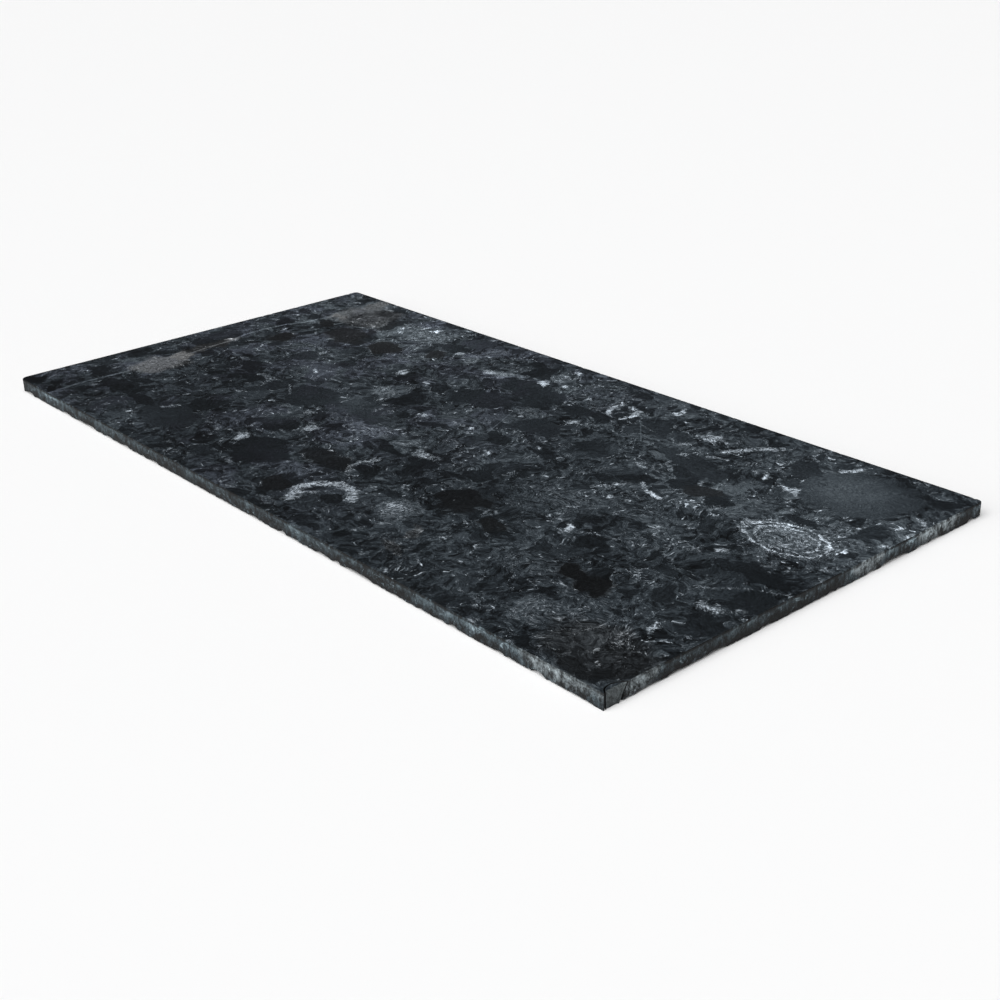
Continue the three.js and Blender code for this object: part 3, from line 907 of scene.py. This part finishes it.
def show_crystals(g, speckle, shards, tone, bright):
    """Crystals show as sharp pale shards where they are bright, over a greyer ground."""
    ground = g.times_plus(speckle, 0.5, 0.3)
    tone = g.blend(tone, ground, g.ramp(bright, 0.15, 0.9, 0.0, 0.65))
    edge = g.times_plus(bright, -0.25, 0.64)
    crystal = g.times(g.ramp(g.minus(shards, edge), -0.09, 0.13), g.ramp(bright, 0.02, 0.2))
    level = g.times_plus(g.math("MINIMUM", bright, 1.0), 0.35, 0.36)
    level = g.times(level, g.ramp(shards, 0.38, 0.66, 0.68, 1.1))
    return g.blend(tone, level, crystal), crystal


def brown_stains(g, marks, grain, shards, tone):
    for row, level in ovals_of(BROWN_STAINS):
        share = g.times(marks.oval(row, 1.24, 0.62)["Share"], g.ramp(grain, 0.38, 0.5, 0.55, 0.9))
        tone = g.blend(tone, g.vary(level, (shards, 0.52)), share)
    return tone


def scratches(g, marks, place, tone):
    scratched = 0.0
    flat = g.vector("MULTIPLY", place, (1, 1, 0))
    for level, start, end in SCRATCHES:
        scratched = marks.line([start, end], SCRATCH_WIDTH, level, scratched, flat)
    return g.blend(tone, SCRATCH_TONE, scratched)


def uneven(g, place, swirl, ragged, tone):
    """The tone with gradual changes over the slab, lighter towards the back as a painted reflection, and
    with the finest grit.
    """
    slow_and_reflection = g.times_plus(g.noise(swirl, 85, 2, 0.5), 0.9, 0.54)
    # Lighter towards the back: a painted reflection on the polish.
    slow_and_reflection = g.times(slow_and_reflection, g.ramp(g.part(place, ACROSS), 0, 2 * HALF_WIDTH, 0.91, 1.17))
    grit = g.times(g.times_plus(g.noise(ragged, 1.2, 3, 0.8), 1.7, 0.165), slow_and_reflection)
    return g.highest(g.times_plus(g.times(tone, grit), 1.066, -0.022), DARKEST)


def make_stone_pattern():
    """A node group that gives the stone's tone, colour and crystals at a place in the slab."""
    tree, g, _ = start_group("stone pattern", outputs="Tone Crystal", colours="Colour")
    place = g.place()
    swirl = g.warped(place, 30, 32)
    bent = g.warped(swirl, 9, 10, seed=70)
    ragged = g.warped(bent, 2.6, 2.2, seed=15)
    tone, grain = matrix_tone(g, swirl, ragged)
    speckle = g.minus(g.noise(ragged, 2.3, 5, 0.76), 0.48)
    tone, calm, rims = scattered_pebbles(g, bent, ragged, speckle, tone)
    bright = g.highest(natural_crystals(g, place, bent, ragged, grain), rims)

    loose = g.vector("ADD", g.warped(place, 19, 24, seed=20), g.wander(ragged, 3.5, 3.6))
    near = g.vector("ADD", place, g.wander(ragged, 3.0, 3.2))
    marks = Marks(g, loose)
    tone, bright = placed_pebbles(g, marks, grain, speckle, tone, calm, bright)
    sockets = {"Place": loose, "Near": near, "Under": bright}
    bright = g.node("ShaderNodeGroup", sockets, node_tree=make_placed_crystals()).outputs["Bright"]

    shards = g.noise(ragged, 2.4, 5, 0.76)
    tone, crystal = show_crystals(g, speckle, shards, tone, bright)
    tone = healed_joint(g, Marks(g, near), grain, tone)
    tone = brown_stains(g, marks, grain, shards, tone)
    tone = uneven(g, place, swirl, ragged, scratches(g, marks, place, tone))
    colour = stone_colour(g, marks, place, swirl, tone, crystal)
    end_group(g, {"Tone": tone, "Colour": colour, "Crystal": crystal})
    return tree


# ---- materials

def start_material(name):
    material = bpy.data.materials.new(name)
    material.use_nodes = True
    return material, Graph(material.node_tree), material.node_tree.nodes["Principled BSDF"].inputs


def start_stone(name, pattern):
    """A new material with its graph and shader, the pattern's outputs and the place in millimetres."""
    material, g, shader = start_material(name)
    return material, g, shader, g.node("ShaderNodeGroup", {}, node_tree=pattern).outputs, g.place()


def set_surface(g, shader, roughness, relief, depth, shine=0.3):
    """Sets the roughness, the shine and a relief from 0 to 1 that is depth millimetres deep."""
    g.feed(shader["Roughness"], roughness)
    bump = g.node("ShaderNodeBump", {"Height": relief, "Distance": depth * MM, "Strength": 1.0})
    g.feed(shader["Normal"], bump.outputs["Normal"])
    shader["Specular IOR Level"].default_value = shine


def broken_mark(g):
    return g.node("ShaderNodeAttribute", {}, attribute_name="broken").outputs["Fac"]


def with_breaks_and_recess_shade(g, tone, fresh, broken):
    """The tone with the pale fresh breaks added, and darkened as painted shade in the crack and the hollow,
    which the mesh marks.
    """
    # The crack and the hollow are darkened to a fifth of their tone: painted shade.
    recess_shading = g.ramp(broken, 0.9 * SHADED_RECESS, 0.1 * SHADED_RECESS, 0.2, 1.0)
    return g.highest(g.times(g.math("ADD", tone, fresh), recess_shading), DARKEST_BROKEN)


# Where the edge faces are palest, placed as the marks of the top are
PALE_EDGES = [
    (520, 0, 90, 40, 0.5), (578, 0, 90, 40, 1.1), (50, 0, 70, 40, 0.2), (610, 18, 40, 58, 1.5),
    (610, 198, 40, 44, 1.3), (610, 262, 40, 56, 2.0), (610, 110, 40, 30, 0.4),
]


def polished_stone(pattern):
    """The worked top: polished, a little duller on the crystals, with fine pits and smears."""
    material, g, shader, stone, place = start_stone("polished stone", pattern)
    g.feed(shader["Base Color"], stone["Colour"])
    smears = g.noise(place, 55, 3, 0.6)
    grain = g.noise(place, 0.9, 3, 0.7)
    gloss = g.vary(0.27, (smears, 0.16))
    gloss = g.times_plus(stone["Crystal"], 0.12, gloss)
    pits = g.times(g.ramp(grain, 0.34, 0.24), g.ramp(g.noise(place, 14, 2), 0.45, 0.6))
    relief = g.times_plus(pits, -0.7, g.times(grain, 0.3))
    set_surface(g, shader, g.times_plus(grain, 0.08, gloss), relief, 0.05, 0.42)
    return material


def edge_tone(g, stone, place, bruise, dust, pale):
    """The tone of the edge faces, with painted shade: darker on the short sides, low down and along most of
    the top edge.
    """
    from_middle = g.math("ABSOLUTE", g.minus(g.part(place, ALONG), HALF_LENGTH))
    # The short sides are darker than the long ones: painted shade.
    tone = g.times(g.times_plus(stone["Tone"], 0.7, 0.085), g.ramp(from_middle, 299, 303, 0.83, 0.6))
    tone = g.times_plus(g.times(pale, g.ramp(bruise, 0.38, 0.56, 0.25, 1.0)), 0.19, tone)
    tone = g.vary(tone, (bruise, 0.85), (g.noise(place, 42, 4, 0.62), 0.4), (dust, 0.4))
    height = g.part(place, UP)
    # Darker low down and lighter high up: painted shade.
    tone = g.math("ADD", tone, g.ramp(height, 1.5, 8.0, -0.09, 0.06))
    tone = g.times_plus(stone["Crystal"], 0.12, tone)
    # Darker along most of the edge under the top: painted shade.
    top_edge_shade = g.times(g.ramp(height, 7.8, 8.7), g.ramp(bruise, 0.68, 0.46, 0.2, 1.0))
    top_edge_shade = g.times(top_edge_shade, g.ramp(pale, 0.4, 1.2, 1.0, 0.4))
    return g.times(tone, g.times_plus(top_edge_shade, -0.68, 1.0))


def sawn_stone(pattern):
    """The edge faces: sawn and dry, so paler and greener than the top, with bruises and broken arrises, and
    painted shade low down, on the short sides, under the top edge and in the crack and the hollow.
    """
    material, g, shader, stone, place = start_stone("sawn edge", pattern)
    streaked = g.vector("MULTIPLY", g.warped(place, 8, 5, seed=5), (1, 1, 0.6))
    bruise = g.noise(streaked, 3.6, 5, 0.76)
    dust = g.noise(place, 0.8, 4, 0.75)
    pale = Marks(g, place).ovals(PALE_EDGES, 1.1, 0.3)
    tone = edge_tone(g, stone, place, bruise, dust, pale)
    broken = broken_mark(g)
    fresh = g.times(g.ramp(broken, 0.1, 0.9), g.ramp(bruise, 0.42, 0.6, -0.05, 0.09))
    tone = with_breaks_and_recess_shade(g, tone, fresh, broken)
    hue = g.tint((0.71, 1.0, 1.18, 1), (0.78, 1.0, 1.12, 1), g.ramp(tone, 0.22, 0.45))
    hue = g.tint(hue, (0.9, 1.0, 1.04, 1), g.ramp(pale, 0.5, 1.0, 0.0, 0.7))
    g.feed(shader["Base Color"], g.coloured(hue, tone))
    chipping = g.times(g.noise(place, 1.7, 4, 0.7), g.ramp(broken, 0.0, 0.8, 0.35, 1.0))
    set_surface(g, shader, g.ramp(dust, 0.3, 0.7, 0.62, 0.82), g.times_plus(dust, 0.35, chipping), 0.35)
    return material


# The arcs that the saw's round blade has left on the underside: their centre and spacing
SAW_CENTRE = (210, -640, 0)
SAW_STEP = 3.4


def underside_stone(pattern):
    """The rough underside: sawn flat, pale with stone dust, with the saw's shallow arcs across it."""
    material, g, shader, stone, place = start_stone("sawn underside", pattern)
    off_centre = g.vector("DISTANCE", g.warped(place, 60, 6), SAW_CENTRE)
    arcs = g.math("SINE", g.times(off_centre, 2 * math.pi / SAW_STEP))
    arcs = g.times(arcs, g.ramp(g.noise(place, 70, 3, 0.6), 0.35, 0.65))
    dust = g.noise(place, 1.1, 5, 0.75)
    stains = g.noise(place, 48, 4, 0.65)
    tone = g.times_plus(stone["Tone"], 0.4, 0.17)
    tone = g.vary(tone, (stains, 0.3), (dust, 0.16))
    tone = g.times_plus(arcs, 0.014, tone)
    hue = g.tint((0.84, 1.0, 1.09, 1), (0.95, 1.0, 1.0, 1), g.ramp(stains, 0.4, 0.65))
    g.feed(shader["Base Color"], g.coloured(hue, tone))
    relief = g.times_plus(arcs, 0.25, g.times(dust, 0.5))
    set_surface(g, shader, g.ramp(dust, 0.3, 0.7, 0.66, 0.85), relief, 0.25)
    return material


def broken_stone(pattern):
    """The flake at the cracked corner: bruised and rough, with pale crushed stone along its edges and
    painted shade on its face in the crack.
    """
    material, g, shader, stone, place = start_stone("broken stone", pattern)
    broken = broken_mark(g)
    lumps = g.noise(g.warped(place, 3, 2, seed=9), 2.2, 5, 0.72)
    dust = g.noise(place, 0.7, 3, 0.7)
    tone = g.times_plus(stone["Tone"], 0.4, 0.215)
    tone = g.vary(tone, (lumps, 0.55), (dust, 0.14))
    crushed = g.times(g.ramp(broken, 0.2, 1.1), g.ramp(lumps, 0.4, 0.62, 0.02, 0.16))
    tone = with_breaks_and_recess_shade(g, tone, crushed, broken)
    g.feed(shader["Base Color"], g.coloured((0.86, 1.0, 1.05), tone))
    set_surface(g, shader, g.ramp(lumps, 0.3, 0.7, 0.9, 0.68), g.times_plus(dust, 0.3, lumps), 0.6)
    return material


# ---- studio

# The studio's lights: strength, spread in degrees and the direction that each one shines from
LIGHTS = {
    "overhead softbox": (3.1, 70, (0.2, -0.42, 1)),
    "long side fill": (1.5, 60, (-0.2, -1.0, 0.42)),
    "short side fill": (0.25, 60, (1.0, -0.5, 0.42)),
}

# The floor's half width in metres. The camera sees one background colour, and another lights the stone.
FLOOR_HALF = 30
SEEN_COLOUR = (0.98, 0.98, 0.98, 1)
LIT_COLOUR = (0.03, 0.03, 0.032, 1)


def add_light(name, strength, spread, toward):
    """A soft, distant light."""
    light = bpy.data.lights.new(name, "SUN")
    light.energy = strength
    light.angle = math.radians(spread)
    lamp = bpy.data.objects.new(name, light)
    lamp.rotation_euler = Vector(toward).to_track_quat("Z", "Y").to_euler()
    bpy.context.scene.collection.objects.link(lamp)


def make_floor():
    material, _, shader = start_material("pale floor")
    shader["Base Color"].default_value = (0.86, 0.86, 0.86, 1)
    shader["Roughness"].default_value = 0.9
    mesh = bpy.data.meshes.new("floor")
    corners = [(x * FLOOR_HALF, y * FLOOR_HALF, 0) for x, y in ((-1, -1), (1, -1), (1, 1), (-1, 1))]
    mesh.from_pydata(corners, [], [(0, 1, 2, 3)])
    mesh.materials.append(material)
    floor = bpy.data.objects.new("floor", mesh)
    bpy.context.scene.collection.objects.link(floor)


def make_studio():
    make_floor()
    for name, light in LIGHTS.items():
        add_light(name, *light)
    world = bpy.data.worlds.new("studio")
    world.use_nodes = True
    g = Graph(world.node_tree)
    seen = g.node("ShaderNodeLightPath", {}).outputs["Is Camera Ray"]
    g.feed(world.node_tree.nodes["Background"].inputs["Color"], g.tint(LIT_COLOUR, SEEN_COLOUR, seen))
    bpy.context.scene.world = world
    bpy.context.scene.view_settings.view_transform = "Standard"


# The camera looks at a point on the top face, from the photographed angle
CAMERA_AZIMUTH = 49.8
CAMERA_ELEVATION = 24.13
CAMERA_ROLL = -1.81
CAMERA_DISTANCE = 898.5 * MM
CAMERA_TARGET = Vector((108.6, -44.5, 9.5)) * MM
LENS = 55.08
SENSOR_WIDTH = 36


def make_camera():
    azimuth, elevation = math.radians(CAMERA_AZIMUTH), math.radians(CAMERA_ELEVATION)
    back = Vector((math.sin(azimuth) * math.cos(elevation), -math.cos(azimuth) * math.cos(elevation),
                   math.sin(elevation)))
    data = bpy.data.cameras.new("camera")
    data.lens = LENS
    data.sensor_width = SENSOR_WIDTH
    camera = bpy.data.objects.new("camera", data)
    camera.location = CAMERA_TARGET + back * CAMERA_DISTANCE
    camera.rotation_mode = "QUATERNION"
    roll = Quaternion((0, 0, 1), math.radians(CAMERA_ROLL))
    camera.rotation_quaternion = back.to_track_quat("Z", "Y") @ roll
    bpy.context.scene.collection.objects.link(camera)
    bpy.context.scene.camera = camera


make_camera()
make_studio()
stone_pattern = make_stone_pattern()
polished = polished_stone(stone_pattern)
make_slab([polished, sawn_stone(stone_pattern), underside_stone(stone_pattern)])
make_flake([broken_stone(stone_pattern), polished])
